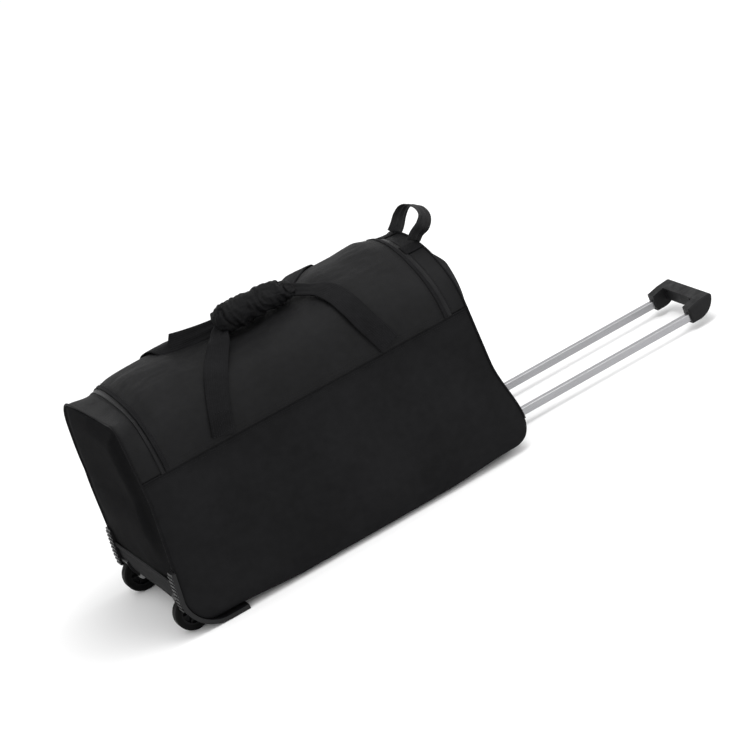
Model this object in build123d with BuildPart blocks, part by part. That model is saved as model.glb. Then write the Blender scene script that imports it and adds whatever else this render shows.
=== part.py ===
"""Rolling duffel bag: soft body with a zipped lid, two wheels and a telescopic handle.

Frame: millimetres, +X from the wheel end to the trolley handle, +Z up, +Y to the far side,
origin on the floor under the middle of the bag with its handle drawn out.
"""
import os
from math import cos, radians, sin, sqrt

from build123d import *

os.makedirs("parts", exist_ok=True)

# ---- driving dimensions -------------------------------------------------------------------
wheel_end = -573.25         # plane of the wheel-end panel above its swelled foot
base_z = 9.0                # underside of the bag above the floor
foot_swell = 20.0           # how far the wheel-end panel swells out at its foot
swell_top = base_z + 250.0  # height where the swell begins
bag_length = 707.0          # wheel-end plane to the foot of the handle-end panel
end_lean = 20.0             # how far the handle-end panel leans in at the top
wheel_corner_r = 65.0
handle_corner_r = 50.0

base_half = 177.0           # half width at the base
base_edge_r = 22.0
seam_half = 162.0           # half width at the side seams
seam_z = base_z + 293.0     # height of the side seams, where the lid begins
arch_z = base_z + 407.0     # height of the crown
crown_drop = 5.0            # how much lower the shoulders begin
shoulder_half = 66.0
fabric = 3.0                # fabric with its lining and padding

lid_start = wheel_end + 50.0
lid_end = wheel_end + 646.0
lid_gap = 0.5
lid_rise = 3.0              # the lid overlaps the end strips by its own thickness
binding = 1.2               # bound edge on top of the lid
binding_w = 9.0
handle_rise = 5.5           # clearance layer between the bag and the carry straps

webbing_w = 44.0
webbing_t = 3.0
wrap_start = wheel_end + 276.0
wrap_end = wheel_end + 436.0
wrap_r = 27.0
wrap_y = -30.0
wrap_z = base_z + 439.0

tube_y = 70.7               # the trolley tubes stand this far each side of the middle
tube_z = base_z + 18.6
outer_w = 19.0
outer_h = 21.0
inner_w = 13.0
inner_h = 15.0
outer_wall = 1.0
inner_wall = 1.2
outer_start = wheel_end + 34.0
outer_end = wheel_end + 708.0
inner_start = wheel_end + 625.0
inner_end = wheel_end + 1146.0
pin_x = wheel_end + 615.0
pin_r = 3.0
rod_r = 2.0
rivet_r = 2.0
handle_travel = 395.0

wheel_x = wheel_end - 6.5
wheel_y = 137.6
wheel_r = 34.0
wheel_w = 22.0
hub_r = 23.0
rim_t = 3.0
web_t = 4.0
spokes = 6
spoke_t = 2.4
tread_r = 4.0
bush_r = 7.0
axle_r = 4.0
axle_head_r = 6.5
running_gap = 0.05
housing_r = 42.0
well_r = 38.0
housing_w = 34.0
well_w = 26.0
fit_gap = 0.3

grip_x = wheel_end + 1130.0  # face of the grip's two sockets
grip_bar_x = wheel_end + 1156.0  # palm side of the bar between the two arms
grip_split = wheel_end + 1170.0
grip_end = wheel_end + 1186.0
grip_low = base_z + 7.0
grip_high = base_z + 46.0
bar_low = base_z + 20.0
grip_half = 84.0
arm_w = 26.0
button_w = 40.0
button_h = 14.0
button_travel = 4.0
button_proud = 1.0          # past the grip's furthest face, so it stands well out of the round one
yoke_x = wheel_end + 1168.0
yoke_z = base_z + 29.0
yoke_t = 4.0
yoke_w = 6.0

wide = 400.0                # any length well past the bag's own size
sides = (("near", -1), ("far", 1))


# ---- shared outlines ----------------------------------------------------------------------
def section_solid(grow, start=wheel_end - 60.0, length=820.0):
    """The bag's cross-section, grown outward by an amount, as a long bar along X."""
    with BuildPart() as bar:
        with BuildSketch(Plane.YZ.offset(start)):
            with BuildLine():
                flat = Line((0, base_z), (base_half - base_edge_r, base_z))
                edge = RadiusArc(flat @ 1, (base_half, base_z + base_edge_r), -base_edge_r)
                side = Line(edge @ 1, (seam_half, seam_z))
                crown = TangentArc((0, arch_z), (shoulder_half, arch_z - crown_drop),
                                   tangent=(1, 0))
                TangentArc(crown @ 1, side @ 1, tangent=crown % 1)
                Line((0, arch_z), (0, base_z))
            make_face()
            mirror(about=Plane.YZ)
            if grow:
                offset(amount=grow, kind=Kind.INTERSECTION)
        extrude(amount=length)
    return bar.part


def profile_solid(grow):
    """The bag's side view, grown outward by an amount, as a wide slab across Y. Open above."""
    left = wheel_end - foot_swell
    right = wheel_end + bag_length
    with BuildPart() as slab:
        with BuildSketch(Plane.XZ):
            with BuildLine():
                low = Line((left + wheel_corner_r, base_z), (right - handle_corner_r, base_z))
                heel = RadiusArc(low @ 1, (right, base_z + handle_corner_r), -handle_corner_r)
                end = Line(heel @ 1, (right - end_lean, arch_z + 60))
                top = Line(end @ 1, (wheel_end, arch_z + 60))
                upright = Line(top @ 1, (wheel_end, swell_top))
                swell = Line(upright @ 1, (left, base_z + wheel_corner_r))
                RadiusArc(swell @ 1, low @ 0, -wheel_corner_r)
            make_face()
            if grow:
                offset(amount=grow, kind=Kind.INTERSECTION)
        extrude(amount=wide, both=True)
    return slab.part


def block(x0, x1, y0, y1, z0, z1):
    """An upright box between two corners."""
    with BuildPart(Plane(origin=(x0, y0, z0))) as box:
        Box(x1 - x0, y1 - y0, z1 - z0, align=(Align.MIN, Align.MIN, Align.MIN))
    return box.part


def cross_bar(radius, centre, y0, y1):
    """A round bar along Y about a point (x, z)."""
    with BuildPart() as bar:
        with BuildSketch(Plane.XZ.offset(-y0)):
            with Locations(centre):
                Circle(radius)
        extrude(amount=-(y1 - y0))
    return bar.part


def save(piece, name):
    """Label a finished piece and write its file."""
    piece.part.label = name
    export_step(piece.part, f"parts/{name}.step")


skin = section_solid(0)
lining = section_solid(-fabric)
lid_top = section_solid(lid_rise)
shape = profile_solid(0)
hollow = profile_solid(-fabric)
wheel_centre = (wheel_x, wheel_r)
rivet_head = 1.5
housing_room = housing_w / 2 + rivet_head + fit_gap
housing_cuts = [cross_bar(housing_r + fit_gap, wheel_centre, s * wheel_y - housing_room,
                          s * wheel_y + housing_room) for _, s in sides]
tube_cuts = [block(outer_start, outer_end + 40, s * tube_y - outer_w / 2 - fit_gap,
                   s * tube_y + outer_w / 2 + fit_gap, tube_z - outer_h / 2 - fit_gap,
                   tube_z + outer_h / 2 + fit_gap) for _, s in sides]

# ---- fabric panels of the body ------------------------------------------------------------
for side_name, s in sides:
    with BuildPart() as side_panel:
        add(skin)
        add(lining, mode=Mode.SUBTRACT)
        add(hollow, mode=Mode.INTERSECT)
        add(block(-wide * 2, wide * 2, min(0, s * wide), max(0, s * wide), 0, seam_z),
            mode=Mode.INTERSECT)
    save(side_panel, f"{side_name}_side_panel")

band_top = base_z + 95.0    # height of the stiff base panel where it turns up the wheel end
with BuildPart() as wheel_end_panel:
    add(shape)
    add(hollow, mode=Mode.SUBTRACT)
    add(skin, mode=Mode.INTERSECT)
    add(block(-wide * 2, wheel_end + 60, -wide, wide, band_top, wide * 2), mode=Mode.INTERSECT)
save(wheel_end_panel, "wheel_end_panel")

with BuildPart() as handle_end_panel:
    add(shape)
    add(hollow, mode=Mode.SUBTRACT)
    add(skin, mode=Mode.INTERSECT)
    add(block(wheel_end + 640, wide, -wide, wide, base_z + handle_corner_r, wide * 2),
        mode=Mode.INTERSECT)
save(handle_end_panel, "handle_end_panel")

with BuildPart() as base_panel:
    add(shape)
    add(hollow, mode=Mode.SUBTRACT)
    add(skin, mode=Mode.INTERSECT)
    add(block(-wide * 2, wheel_end + 60, -wide, wide, 0, band_top)
        + block(wheel_end + 60, wide, -wide, wide, 0, base_z + handle_corner_r),
        mode=Mode.INTERSECT)
    for cut in housing_cuts + tube_cuts:
        add(cut, mode=Mode.SUBTRACT)
save(base_panel, "base_panel")

strip_ends = (("wheel_end_top_strip", -wide * 2, lid_start), ("handle_end_top_strip", lid_end, wide))
for strip_name, x0, x1 in strip_ends:
    with BuildPart() as top_strip:
        add(skin)
        add(lining, mode=Mode.SUBTRACT)
        add(hollow, mode=Mode.INTERSECT)
        add(block(x0, x1, -wide, wide, seam_z, wide * 2), mode=Mode.INTERSECT)
    save(top_strip, strip_name)

piping_r = 2.5
piping_w = 6.0
for end_name, x0, x1 in (("wheel", -wide * 2, wheel_end + 80), ("handle", wheel_end + 600, wide)):
    with BuildPart() as piping:
        add(section_solid(piping_r))
        add(skin, mode=Mode.SUBTRACT)
        add(shape, mode=Mode.INTERSECT)
        add(profile_solid(-piping_w), mode=Mode.SUBTRACT)
        add(block(x0, x1, -wide, wide, band_top, wide * 2), mode=Mode.INTERSECT)
    save(piping, f"{end_name}_end_piping")

board_x = wheel_end + 350.0
board_z = base_z + 32.0
board_length = 580.0
board_w = 320.0
board_t = 4.0
with BuildPart() as base_board:
    with BuildSketch(Plane.XY.offset(board_z)):
        with Locations((board_x, 0)):
            RectangleRounded(board_length, board_w, 20)
    extrude(amount=board_t)
save(base_board, "base_board")

# ---- lid and zip --------------------------------------------------------------------------
lid_bounds = block(lid_start + lid_gap, lid_end - lid_gap, -wide, wide, seam_z + lid_gap, wide * 2)
with BuildPart() as lid_panel:
    add(lid_top)
    add(skin, mode=Mode.SUBTRACT)
    add(lid_bounds, mode=Mode.INTERSECT)
save(lid_panel, "lid_panel")

with BuildPart() as lid_binding:
    add(section_solid(lid_rise + binding))
    add(lid_top, mode=Mode.SUBTRACT)
    add(lid_bounds, mode=Mode.INTERSECT)
    add(block(lid_start + binding_w, lid_end - binding_w, -wide, wide, seam_z + binding_w, wide * 2)
        + block(lid_start + binding_w, lid_end - binding_w, -wide, 0, 0, wide), mode=Mode.SUBTRACT)
save(lid_binding, "lid_binding")

coil_t = 1.5
coil_w = 7.0
with BuildPart() as zip_coil:
    add(section_solid(coil_t))
    add(skin, mode=Mode.SUBTRACT)
    add(block(lid_start - coil_w, lid_start, -wide, wide, seam_z, wide * 2)
        + block(lid_end, lid_end + coil_w, -wide, wide, seam_z, wide * 2)
        + block(lid_start - coil_w, lid_end + coil_w, 0, wide, seam_z - coil_w, seam_z),
        mode=Mode.INTERSECT)
save(zip_coil, "zip_coil")

slider_y = seam_half + lid_rise + 2.4   # inner face of the sliders, clear of the lid and coil
slider_z = seam_z - 5.0
slider_length = 14.0
slider_h = 9.0
slider_t = 3.0
post_x = 4.5                # the two posts that hold the pull's pin
post_t = 2.0
post_h = 4.0
pull_pin_r = 0.9
pull_pin_y = slider_y + slider_t + 2.2
pull_w = 6.4
pull_t = 2.0
pull_length = 25.0
pull_eye_r = 1.9
for slider_name, x0 in (("wheel_end", wheel_end + 330), ("handle_end", wheel_end + 350)):
    with BuildPart() as slider:
        with BuildSketch(Plane.XZ.offset(-slider_y)):
            with Locations((x0, slider_z)):
                RectangleRounded(slider_length, slider_h, slider_h / 3)
        extrude(amount=-slider_t)
        with BuildSketch(Plane.XZ.offset(-slider_y - slider_t)):
            with Locations((x0 - post_x, slider_z), (x0 + post_x, slider_z)):
                Rectangle(post_t, post_h)
        extrude(amount=slider_y + slider_t - pull_pin_y - pull_pin_r - fit_gap)
        with BuildSketch(Plane.YZ.offset(x0 - post_x - post_t / 2)):
            with Locations((pull_pin_y, slider_z)):
                Circle(pull_pin_r)
        extrude(amount=2 * post_x + post_t)
    save(slider, f"{slider_name}_slider")

    with BuildPart() as pull:
        with BuildSketch(Plane.XZ.offset(-pull_pin_y + pull_t / 2)):
            with Locations((x0, slider_z - pull_length / 2)):
                RectangleRounded(pull_w, pull_length, 2)
        extrude(amount=-pull_t)
        with BuildSketch(Plane.YZ.offset(x0 - pull_w / 2)):
            with Locations((pull_pin_y, slider_z)):
                Circle(pull_eye_r)
        extrude(amount=pull_w)
        with BuildSketch(Plane.YZ.offset(x0 - pull_w / 2)):
            with Locations((pull_pin_y, slider_z)):
                Circle(pull_pin_r + 0.1)
        extrude(amount=pull_w, mode=Mode.SUBTRACT)
    save(pull, f"{slider_name}_pull")

# ---- carry handles ------------------------------------------------------------------------
strap_under = section_solid(handle_rise)
strap_over = section_solid(handle_rise + webbing_t)
half_web = webbing_w / 2
diagonal = sqrt(2)
foot_level = (seam_z + 8.0 - seam_half) / diagonal      # levels run up the shoulder at 45 degrees
shoulder_level = (arch_z - 143.0) / diagonal
near_crown_level = (arch_z - 6.0) / diagonal
far_crown_level = (arch_z - 10.0) / diagonal
near_feet = (wheel_end + 171.0, wheel_end + 526.0)
near_knees = (wheel_end + 171.0, wheel_end + 500.0)
near_tops = (wheel_end + 254.0, wheel_end + 458.0)


def strap_layer(s, outlines):
    """Webbing lying on one side of the lid, cut to outlines drawn square to the shoulder."""
    with BuildPart() as layer:
        with BuildSketch(Plane(origin=(0, 0, 0), x_dir=(1, 0, 0), z_dir=(0, s, 1))):
            for points in outlines:
                with BuildLine():
                    Polyline([(x, -s * level) for x, level in points], close=True)
                make_face()
        extrude(amount=wide * 2)
        add(strap_over, mode=Mode.INTERSECT)
        add(strap_under, mode=Mode.SUBTRACT)
        add(block(-wide * 2, wide * 2, min(0, s * wide), max(0, s * wide), seam_z + 3, wide * 2),
            mode=Mode.INTERSECT)
    return layer.part


def strap_leg(foot, knee, top, crown_level):
    """One leg's outline: straight up from its foot, then slanted in to the grip."""
    left = [(foot - half_web, foot_level), (knee - half_web, shoulder_level),
            (top - half_web, crown_level)]
    right = [(x + webbing_w, level) for x, level in reversed(left)]
    return left + right


with BuildPart() as near_handle_webbing:
    add(strap_layer(-1, [strap_leg(foot, knee, top, near_crown_level)
                         for foot, knee, top in zip(near_feet, near_knees, near_tops)]))
    add(block(wrap_start - fit_gap, wrap_end + fit_gap, -wide, wide, 0, wide * 2),
        mode=Mode.SUBTRACT)
save(near_handle_webbing, "near_handle_webbing")

with BuildPart() as grip_wrap:
    with BuildSketch(Plane.YZ.offset(wrap_start)):
        with Locations((wrap_y, wrap_z)):
            Ellipse(wrap_r, wrap_r - 3)
    extrude(amount=wrap_end - wrap_start)
    fillet(grip_wrap.edges(), radius=8)
save(grip_wrap, "grip_wrap")

far_feet = near_feet
crown_band_w = 34.0
with BuildPart() as far_handle_webbing:
    crown_band = [(far_feet[0] - half_web, far_crown_level - crown_band_w),
                  (far_feet[0] - half_web, far_crown_level),
                  (far_feet[1] + half_web, far_crown_level),
                  (far_feet[1] + half_web, far_crown_level - crown_band_w)]
    add(strap_layer(1, [strap_leg(foot, foot, foot, far_crown_level) for foot in far_feet]
                    + [crown_band]))
save(far_handle_webbing, "far_handle_webbing")

# ---- grab loop on the handle end ----------------------------------------------------------
loop_x = wheel_end + 678.0
loop_w = 32.0
loop_lean = 40.0
loop_rise = 60.0
loop_bow_r = 38.0
loop_foot_half = 50.0       # half the spread of the two legs where they are sewn down
loop_depth = 40.0           # the outline runs this far below the hinge line, and is trimmed there
loop_pivot_z = arch_z + 2.0 + loop_w / 2
anchor_t = 2.0
anchor_end = loop_x + 2.0
up_x = sin(radians(loop_lean))
up_z = cos(radians(loop_lean))
loop_pivot = (loop_x, 0, loop_pivot_z)
with BuildPart() as grab_loop:
    with BuildSketch(Plane(origin=loop_pivot, x_dir=(0, 1, 0), z_dir=(up_z, 0, -up_x))):
        with BuildLine():
            leg = Line((loop_foot_half, -loop_depth), (loop_foot_half + 6, 14))
            bow = RadiusArc(leg @ 1, (20, loop_rise), -loop_bow_r)
            crest = Line(bow @ 1, (0, loop_rise))
            Polyline(crest @ 1, (0, -loop_depth), leg @ 0)
        make_face()
        mirror(about=Plane.YZ)
        offset(amount=-webbing_t, mode=Mode.SUBTRACT)
    extrude(amount=loop_w / 2, both=True)
    with BuildSketch(Plane(origin=loop_pivot, x_dir=(up_z, 0, -up_x), z_dir=(0, -1, 0))):
        Circle(loop_w / 2)
        with Locations((0, loop_rise)):
            Rectangle(loop_w, 2 * loop_rise)
    extrude(amount=wide, both=True, mode=Mode.INTERSECT)
save(grab_loop, "grab_loop")

anchor_spots = [(s * 57.0 - 15.0, s * 57.0 + 15.0) for _, s in sides]
with BuildPart() as grab_loop_anchors:
    add(section_solid(anchor_t))
    add(skin, mode=Mode.SUBTRACT)
    add(block(loop_x - loop_w / 2, anchor_end, *anchor_spots[0], seam_z, wide * 2)
        + block(loop_x - loop_w / 2, anchor_end, *anchor_spots[1], seam_z, wide * 2),
        mode=Mode.INTERSECT)
save(grab_loop_anchors, "grab_loop_anchors")

# ---- corner guards, wheel housings and wheels ---------------------------------------------
guard_inner_y = wheel_y + housing_w / 2 + 2.5
guard_outer_y = base_half + 4.0
guard_t = 8.0
guard_top = base_z + 122.0
guard_end = wheel_end + 86.0
guard_ribs = 9
rib_low = base_z + 48.0
rib_pitch = 8.0
rib_h = 4.0
rib_proud = 1.5
for side_name, s in sides:
    y0, y1 = sorted((s * guard_inner_y, s * guard_outer_y))
    with BuildPart() as guard:
        add(profile_solid(guard_t))
        add(shape, mode=Mode.SUBTRACT)
        add(block(-wide * 2, guard_end, y0, y1, 0, guard_top), mode=Mode.INTERSECT)
        for level in range(guard_ribs):
            rib_z = rib_low + rib_pitch * level
            swell_left = max(rib_z - base_z - wheel_corner_r, 0) / (swell_top - base_z - wheel_corner_r)
            rib_x = wheel_end - foot_swell * (1 - swell_left)
            with BuildSketch(Plane.XY.offset(rib_z)):
                with Locations((rib_x, (y0 + y1) / 2)):
                    RectangleRounded(2 * (guard_t + rib_proud), y1 - y0, 1)
            extrude(amount=rib_h)
        add(shape, mode=Mode.SUBTRACT)
    save(guard, f"corner_guard_{side_name}")

    cheek_lo = s * wheel_y - housing_w / 2
    cheek_hi = s * wheel_y + housing_w / 2
    with BuildPart() as housing:
        add(cross_bar(housing_r, wheel_centre, cheek_lo, cheek_hi))
        add(cross_bar(well_r, wheel_centre, s * wheel_y - well_w / 2, s * wheel_y + well_w / 2),
            mode=Mode.SUBTRACT)
        add(profile_solid(5), mode=Mode.INTERSECT)
        add(cross_bar(axle_r, wheel_centre, cheek_lo, cheek_hi), mode=Mode.SUBTRACT)
    save(housing, f"wheel_housing_{side_name}")

    with BuildPart() as axle:
        with BuildSketch(Plane.XZ.offset(-cheek_lo)):
            with Locations(wheel_centre):
                Circle(axle_r)
        extrude(amount=-housing_w)
        for head_y in (cheek_lo - rivet_head, cheek_hi):
            with BuildSketch(Plane.XZ.offset(-head_y)):
                with Locations(wheel_centre):
                    Circle(axle_head_r)
            extrude(amount=-rivet_head)
    save(axle, f"axle_{side_name}")

    with BuildPart() as bush:
        with BuildSketch(Plane.XZ.offset(-s * wheel_y)):
            with Locations(wheel_centre):
                Circle(bush_r)
                Circle(axle_r + running_gap, mode=Mode.SUBTRACT)
        extrude(amount=(well_w - 1) / 2, both=True)
    save(bush, f"wheel_bush_{side_name}")

    with BuildPart() as hub:
        with BuildSketch(Plane.XZ.offset(-s * wheel_y)):
            with Locations(wheel_centre):
                Circle(hub_r)
                Circle(hub_r - rim_t, mode=Mode.SUBTRACT)
        extrude(amount=wheel_w / 2 - 1, both=True)
        with BuildSketch(Plane.XZ.offset(-s * wheel_y)):
            with Locations(wheel_centre):
                Circle(bush_r + rim_t)
        extrude(amount=wheel_w / 2, both=True)
        with BuildSketch(Plane.XZ.offset(-s * wheel_y)):
            with Locations(wheel_centre):
                Circle(hub_r - rim_t / 2)
        extrude(amount=web_t / 2, both=True)
        with BuildSketch(Plane.XZ.offset(-s * wheel_y)):
            with Locations(wheel_centre):
                with PolarLocations(hub_r - 8, spokes):
                    Rectangle(13, spoke_t)
        extrude(amount=wheel_w / 2 - 3, both=True)
        with BuildSketch(Plane.XZ.offset(-s * wheel_y)):
            with Locations(wheel_centre):
                Circle(bush_r)
        extrude(amount=wheel_w, both=True, mode=Mode.SUBTRACT)
    save(hub, f"hub_{side_name}")

    with BuildPart() as tyre:
        with BuildSketch(Plane.XZ.offset(-s * wheel_y)):
            with Locations(wheel_centre):
                Circle(wheel_r)
                Circle(hub_r, mode=Mode.SUBTRACT)
        extrude(amount=wheel_w / 2, both=True)
        rims = tyre.edges().filter_by(GeomType.CIRCLE).sort_by(SortBy.RADIUS)[-2:]
        fillet(rims, radius=tread_r)
    save(tyre, f"tyre_{side_name}")

foot_x = wheel_end + 612.0
foot_y = 118.0
foot_r = 13.0
with BuildPart() as rear_feet:
    with BuildSketch(Plane.XY):
        with Locations(*[(foot_x, s * foot_y) for _, s in sides]):
            Circle(foot_r)
    extrude(amount=base_z, taper=-8)
save(rear_feet, "rear_feet")

# ---- trolley handle: fixed tubes ----------------------------------------------------------
rivet_x = outer_start + 13.0
collar_t = 8.0
collar_rim = 3.0
for side_name, s in sides:
    with BuildPart() as outer_tube:
        with BuildSketch(Plane.YZ.offset(outer_start)):
            with Locations((s * tube_y, tube_z)):
                RectangleRounded(outer_w, outer_h, 3)
                RectangleRounded(outer_w - 2 * outer_wall, outer_h - 2 * outer_wall, 2,
                                 mode=Mode.SUBTRACT)
        extrude(amount=outer_end - outer_start)
        with BuildSketch(Plane.XY):
            with Locations((pin_x, s * tube_y), (pin_x - handle_travel, s * tube_y)):
                Circle(pin_r + fit_gap)
        extrude(amount=tube_z - 4, mode=Mode.SUBTRACT)
        with BuildSketch(Plane.XY):
            with Locations((rivet_x, s * tube_y)):
                Circle(rivet_r)
        extrude(amount=2 * tube_z, mode=Mode.SUBTRACT)
    save(outer_tube, f"outer_tube_{side_name}")

    with BuildPart() as collar:
        with BuildSketch(Plane.YZ.offset(outer_end)):
            with Locations((s * tube_y, tube_z)):
                RectangleRounded(outer_w + 2 * collar_rim, outer_h + 2 * collar_rim, 5)
                RectangleRounded(inner_w + 2 * fit_gap, inner_h + 2 * fit_gap, 2.5,
                                 mode=Mode.SUBTRACT)
        extrude(amount=collar_t)
    save(collar, f"tube_collar_{side_name}")

rivet_spots = [(rivet_x, s * tube_y) for _, s in sides]
bracket_low = base_z + 6.0
bracket_high = base_z + 31.5
bracket_half = tube_y + 20.0
with BuildPart() as tube_bracket:
    add(block(outer_start - 6, outer_start + 26, -bracket_half, bracket_half, bracket_low,
              bracket_high))
    for cut in tube_cuts:
        add(cut, mode=Mode.SUBTRACT)
    with BuildSketch(Plane.XY.offset(bracket_low)):
        with Locations(*rivet_spots):
            Circle(rivet_r)
    extrude(amount=bracket_high - bracket_low, mode=Mode.SUBTRACT)
save(tube_bracket, "tube_bracket")

with BuildPart() as tube_rivets:
    with BuildSketch(Plane.XY.offset(bracket_low)):
        with Locations(*rivet_spots):
            Circle(rivet_r)
    extrude(amount=bracket_high - bracket_low)
save(tube_rivets, "tube_rivets")

plate_t = 3.0
plate_start = wheel_end + 668.0
plate_half = tube_y + 26.0
plate_top = base_z + 58.0
with BuildPart() as exit_plate:
    add(profile_solid(plate_t))
    add(shape, mode=Mode.SUBTRACT)
    add(block(plate_start, wide, -plate_half, plate_half, 0, plate_top), mode=Mode.INTERSECT)
    for cut in tube_cuts:
        add(cut, mode=Mode.SUBTRACT)
save(exit_plate, "exit_plate")

# ---- trolley handle: sliding tubes, lock and grip -----------------------------------------
bush_gap = 0.4
bush_w = outer_w - 2 * outer_wall - bush_gap
bush_h = outer_h - 2 * outer_wall - bush_gap
lock_block = 20.0
lock_h = bush_h - 4.0         # the block behind the bush, which holds the lock pin
for side_name, s in sides:
    with BuildPart() as inner_tube:
        with BuildSketch(Plane.YZ.offset(inner_start)):
            with Locations((s * tube_y, tube_z)):
                RectangleRounded(inner_w, inner_h, 2)
                RectangleRounded(inner_w - 2 * inner_wall, inner_h - 2 * inner_wall, 1,
                                 mode=Mode.SUBTRACT)
        extrude(amount=inner_end - inner_start)
    save(inner_tube, f"inner_tube_{side_name}")

    with BuildPart() as slide_bush:
        with BuildSketch(Plane.YZ.offset(inner_start)):
            with Locations((s * tube_y, tube_z)):
                RectangleRounded(bush_w, bush_h, 1.8)
                RectangleRounded(inner_w, inner_h, 2, mode=Mode.SUBTRACT)
        extrude(amount=lock_block)
        with BuildSketch(Plane.YZ.offset(inner_start - lock_block)):
            with Locations((s * tube_y, tube_z)):
                RectangleRounded(bush_w, lock_h, 1.8)
        extrude(amount=lock_block)
        with BuildSketch(Plane.YZ.offset(inner_start - 4)):
            with Locations((s * tube_y, tube_z)):
                Circle(rod_r + 0.5)
        extrude(amount=8, mode=Mode.SUBTRACT)
        with BuildSketch(Plane.XY.offset(tube_z - bush_h / 2)):
            with Locations((pin_x, s * tube_y)):
                Circle(pin_r + fit_gap / 2)
        extrude(amount=lock_h, mode=Mode.SUBTRACT)
    save(slide_bush, f"slide_bush_{side_name}")

pin_low = tube_z - lock_h / 2 - 1.5
pin_length = 10.0
with BuildPart() as lock_pins:
    with BuildSketch(Plane.XY.offset(pin_low)):
        with Locations(*[(pin_x, s * tube_y) for _, s in sides]):
            Circle(pin_r)
    extrude(amount=pin_length)
save(lock_pins, "lock_pins")


def coil_spring(start, axis, radius, wire, length, pitch):
    """A round-wire compression spring that starts at a point and runs along an axis."""
    with BuildPart() as spring:
        with BuildLine():
            run = Helix(pitch, length - 2 * wire, radius, center=start, direction=axis)
        with BuildSketch(Plane(origin=run @ 0, z_dir=run % 0)):
            Circle(wire)
        sweep()
    return spring.part


pin_spring_length = tube_z - bush_h / 2 + lock_h - (pin_low + pin_length) - 0.4
with BuildPart() as pin_springs:
    for _, s in sides:
        add(coil_spring((pin_x, s * tube_y, pin_low + pin_length + 0.5), (0, 0, 1), 1.9, 0.3,
                        pin_spring_length, 1.4))
save(pin_springs, "pin_springs")

rod_start = inner_start + 4.0
with BuildPart() as release_rods:
    with BuildSketch(Plane.YZ.offset(rod_start)):
        with Locations(*[(s * tube_y, tube_z) for _, s in sides]):
            Circle(rod_r)
    extrude(amount=yoke_x - rod_start)
save(release_rods, "release_rods")

arm_slot_w = 8.0
with BuildPart() as release_yoke:
    with BuildSketch(Plane.YZ.offset(yoke_x)):
        with Locations((0, yoke_z)):
            Rectangle(2 * tube_y + arm_slot_w, yoke_w)
        with Locations(*[(s * tube_y, (yoke_z + tube_z) / 2) for _, s in sides]):
            Rectangle(arm_slot_w, yoke_z - tube_z + yoke_w)
    extrude(amount=yoke_t)
save(release_yoke, "release_yoke")

with BuildPart() as push_button:
    with BuildSketch(Plane.YZ.offset(yoke_x + yoke_t)):
        with Locations((0, yoke_z)):
            RectangleRounded(button_w, button_h, 6)
    extrude(amount=grip_end + button_proud - yoke_x - yoke_t)
    fillet(push_button.faces().sort_by(Axis.X)[-1].edges(), radius=1.5)
save(push_button, "push_button")

spring_length = 7.0
spring_r = 3.4
spring_wire = 0.45
with BuildPart() as button_spring:
    add(coil_spring((yoke_x - spring_length - fit_gap, 0, yoke_z), (1, 0, 0), spring_r, spring_wire,
                    spring_length, 2.0))
save(button_spring, "button_spring")

yoke_back = yoke_x - button_travel - 0.5
yoke_front = yoke_x + yoke_t + 0.5
yoke_room = yoke_w / 2 + 0.5
arm_room = arm_slot_w / 2 + 0.5
spring_room = spring_r + spring_wire + 0.5
button_room = 0.4
with BuildPart() as grip_body:
    with BuildSketch(Plane.XZ.offset(-grip_half)):
        with BuildLine():
            heel = Line((grip_x, grip_low), (grip_end - 44, grip_low))
            elbow = RadiusArc(heel @ 1, (grip_end, grip_high - 5), -42)
            brow = RadiusArc(elbow @ 1, (grip_end - 7, grip_high), -6)
            palm = Line(brow @ 1, (grip_bar_x, grip_high - 2))
            Polyline(palm @ 1, (grip_x, grip_high - 8), heel @ 0)
        make_face()
    extrude(amount=2 * grip_half)
    fillet(grip_body.edges().filter_by(Axis.Y, reverse=True), radius=4)
    add(block(grip_x - 5, grip_bar_x, -grip_half + arm_w, grip_half - arm_w, 0, grip_high + 5),
        mode=Mode.SUBTRACT)
    add(block(grip_x - 5, grip_end + 5, -grip_half + arm_w, grip_half - arm_w, 0, bar_low),
        mode=Mode.SUBTRACT)
    for _, s in sides:
        add(block(grip_x - 1, inner_end, s * tube_y - inner_w / 2, s * tube_y + inner_w / 2,
                  tube_z - inner_h / 2, tube_z + inner_h / 2), mode=Mode.SUBTRACT)
        add(block(inner_end - 1, yoke_x, s * tube_y - 3, s * tube_y + 3, tube_z - 3, tube_z + 3),
            mode=Mode.SUBTRACT)
        add(block(yoke_back, yoke_front, s * tube_y - arm_room, s * tube_y + arm_room,
                  tube_z - yoke_room, yoke_z), mode=Mode.SUBTRACT)
    add(block(yoke_back, yoke_front, -tube_y - arm_room, tube_y + arm_room, yoke_z - yoke_room,
              yoke_z + yoke_room), mode=Mode.SUBTRACT)
    add(block(yoke_x - spring_length - 1.0, yoke_x, -spring_room, spring_room, yoke_z - spring_room,
              yoke_z + spring_room), mode=Mode.SUBTRACT)
    add(block(yoke_back, grip_end + 10, -button_w / 2 - button_room, button_w / 2 + button_room,
              yoke_z - button_h / 2 - button_room, yoke_z + button_h / 2 + button_room),
        mode=Mode.SUBTRACT)

screw_x = grip_bar_x + 3.0
screw_r = 1.5
screw_head_r = 2.5
screw_head_t = 2.0
screw_length = 20.0
screw_spots = [(s * 45.0, base_z + 39.0) for _, s in sides]


def screw_solid(grow):
    """Both grip screws, grown by an amount for their holes."""
    with BuildPart() as screws:
        with BuildSketch(Plane.YZ.offset(screw_x - grow)):
            with Locations(*screw_spots):
                Circle(screw_head_r + grow)
        extrude(amount=screw_head_t + grow)
        with BuildSketch(Plane.YZ.offset(screw_x)):
            with Locations(*screw_spots):
                Circle(screw_r)
        extrude(amount=screw_length)
    return screws.part


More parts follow.
